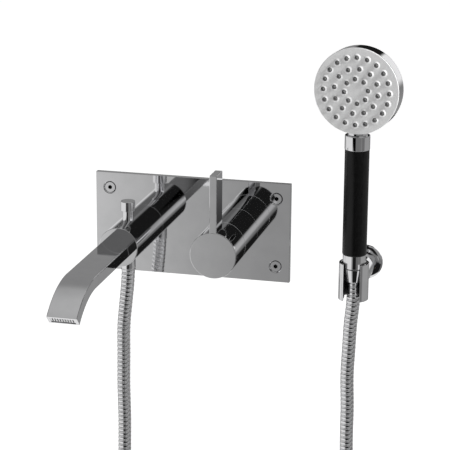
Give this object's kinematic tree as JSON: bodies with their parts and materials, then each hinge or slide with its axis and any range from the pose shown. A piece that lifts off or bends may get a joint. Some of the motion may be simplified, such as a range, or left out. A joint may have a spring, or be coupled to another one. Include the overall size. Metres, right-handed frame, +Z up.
{
  "type": "wall mounted bath faucet",
  "caption": "Chrome wall mounted bath faucet with lever control, flat spout with pull-up diverter, and a hand shower on a wall bracket.",
  "frame": {"origin": "centre of the cover plate's back face, on the finished wall", "axes": "+X right along the wall seen from the room, +Y into the wall, +Z up; the room is on the -Y side"},
  "size_m": [0.3321, 0.3142, 0.7905],
  "materials": {
    "chrome": "polished chrome plate on brass",
    "brass": "machined brass, hidden in use",
    "hose_steel": "polished metal hose of interlocked coils",
    "screw_steel": "stainless steel",
    "seal_rubber": "black rubber seal",
    "ceramic": "ground ceramic",
    "inner_plastic": "moulded plastic, hidden in use",
    "dark_plastic": "dark moulded plastic",
    "hub_metal": "die cast metal, hidden in use",
    "frame_steel": "zinc plated steel frame, hidden in the wall",
    "grip_black": "black satin sleeve",
    "face_satin": "satin metal spray face",
    "nozzle_silicone": "dark grey silicone nozzles"
  },
  "bodies": {
    "wall_set": {"wall_plate": "chrome", "plate_gasket": "seal_rubber", "plate_screws": "screw_steel", "mounting_frame": "frame_steel", "valve_body": "brass", "body_screws": "screw_steel", "channel_plug": "brass", "check_valves": "inner_plastic", "control_sleeve": "chrome", "sleeve_oring": "seal_rubber", "cartridge_seals": "seal_rubber", "cartridge_base": "inner_plastic", "ceramic_disc_fixed": "ceramic", "cartridge_shell": "inner_plastic", "cartridge_nut": "brass", "spout_body": "chrome", "flat_spout": "chrome", "spout_insert": "chrome", "diverter_housing": "brass", "union_nut": "brass", "union_washer": "seal_rubber", "diverter_cage": "brass", "diverter_gland": "brass", "diverter_neck": "chrome", "diverter_spring": "screw_steel", "outlet_nipple": "brass", "hose_ferrule_inlet": "chrome", "shower_hose": "hose_steel", "bracket_flange": "brass", "bracket_wall_screw": "screw_steel", "bracket_wall_plug": "inner_plastic", "bracket_rose": "chrome", "bracket_arm": "chrome", "bracket_grub_screw": "screw_steel", "shower_holder": "chrome", "holder_screw": "screw_steel", "holder_liner": "dark_plastic"},
    "handle": {"ceramic_disc_moving": "ceramic", "cartridge_spindle": "brass", "handle_hub": "hub_metal", "handle_cap": "chrome", "hub_screw": "screw_steel", "lever": "chrome", "lever_screw": "screw_steel", "handle_grub_screw": "screw_steel"},
    "diverter": {"diverter_spindle": "screw_steel", "diverter_valve": "seal_rubber", "diverter_knob": "chrome"},
    "hose_end": {"hose_ferrule_outlet": "chrome"},
    "hand_shower": {"hose_cone_nut": "chrome", "hose_washer": "seal_rubber", "grip_neck": "chrome", "grip": "grip_black", "water_tube": "inner_plastic", "head_collar": "chrome", "head_shell": "chrome", "head_seal": "seal_rubber", "spray_face": "face_satin", "nozzle_mat": "nozzle_silicone", "mat_clamp": "inner_plastic"}
  },
  "joints": [
    {"name": "handle_turn", "type": "hinge", "parent": "wall_set", "child": "handle", "pos_m": [0.047, -0.06, 0], "axis": [0, 1, 0], "range_deg": [0, 90]},
    {"name": "diverter_lift", "type": "slide", "parent": "wall_set", "child": "diverter", "axis": [0, 0, 1], "range_m": [0, 0.008], "stiffness_N_per_m": 60, "springref_m": -0.004, "deforming": ["diverter_spring"]},
    {"name": "shower_lift", "type": "slide", "parent": "wall_set", "child": "hose_end", "axis": [0, 0, 1], "range_m": [0, 0.032]},
    {"name": "shower_spin", "type": "hinge", "parent": "hose_end", "child": "hand_shower", "pos_m": [0.184, -0.07, -0.02], "axis": [0, 0, 1], "continuous": true}
  ]
}
